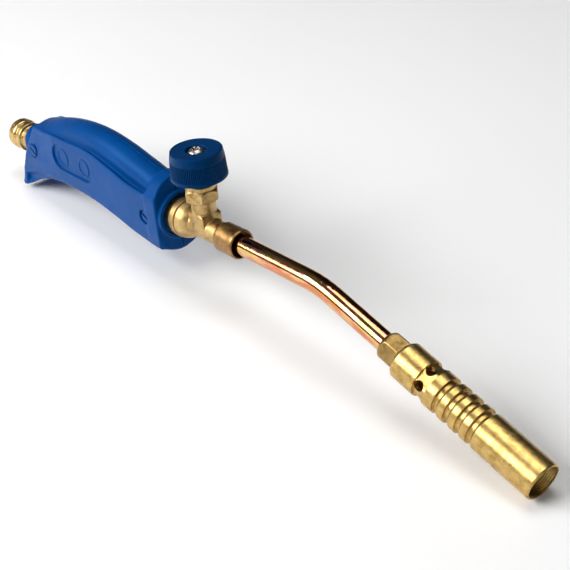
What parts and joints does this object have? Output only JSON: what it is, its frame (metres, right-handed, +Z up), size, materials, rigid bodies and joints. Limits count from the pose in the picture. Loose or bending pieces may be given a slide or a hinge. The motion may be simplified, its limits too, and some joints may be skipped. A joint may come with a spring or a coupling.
{
  "type": "propane torch",
  "caption": "Hand-held propane torch: curved two-part grip, spindle gas valve with ribbed knob, bent neck tube and turned burner with air holes.",
  "frame": {"origin": "centre of the hose inlet's rear face, on the gas line", "axes": "+X forward along the gas line towards the flame, +Z up along the valve spindle, +Y to the left of the user"},
  "size_m": [0.4077, 0.029, 0.0947],
  "materials": {
    "handle_plastic": "satin moulded",
    "knob_plastic": "satin moulded",
    "blue_screw": "painted",
    "forged_brass": "blasted forging",
    "turned_brass": "turned",
    "bright_brass": "turned, slightly mottled",
    "holder_brass": "drawn, heat darkened",
    "tinted_bronze": "heat tinted",
    "chromated_steel": "polished, yellow chromate",
    "steel_pipe": "drawn",
    "nickel_steel": "nickel plated",
    "copper": "annealed copper",
    "seal_rubber": "moulded",
    "packing_white": "pressed sealing ring"
  },
  "bodies": {
    "root": {"hose_inlet": "turned_brass", "inlet_seal": "seal_rubber", "gas_pipe": "steel_pipe", "valve_body": "forged_brass", "packing_washer": "turned_brass", "gland_packing": "packing_white", "gland_nut": "forged_brass", "tube_sleeve": "tinted_bronze", "neck_tube": "chromated_steel", "nozzle_holder": "holder_brass", "jet_seal": "copper", "jet": "turned_brass", "burner_body": "bright_brass", "flame_stabiliser": "turned_brass", "handle_right": "handle_plastic", "handle_left": "handle_plastic", "handle_screws": "blue_screw"},
    "plug": {"valve_plug": "turned_brass", "seat_disc": "seal_rubber"},
    "knob": {"spindle": "steel_pipe", "spindle_ring": "seal_rubber", "knob": "knob_plastic", "knob_insert": "turned_brass", "knob_washer": "nickel_steel", "knob_screw": "nickel_steel"}
  },
  "joints": [
    {"name": "plug_lift", "type": "slide", "parent": "root", "child": "plug", "axis": [0, 0, 1], "range_m": [0, 0.0015]},
    {"name": "knob_turn", "type": "hinge", "parent": "plug", "child": "knob", "pos_m": [0.183, 0, 0.03], "axis": [0, 0, 1], "range_deg": [0, 540.5]}
  ],
  "couplings": [
    {"joint": "knob_turn", "follows": "plug_lift", "rad_per_m": 6283.2}
  ]
}
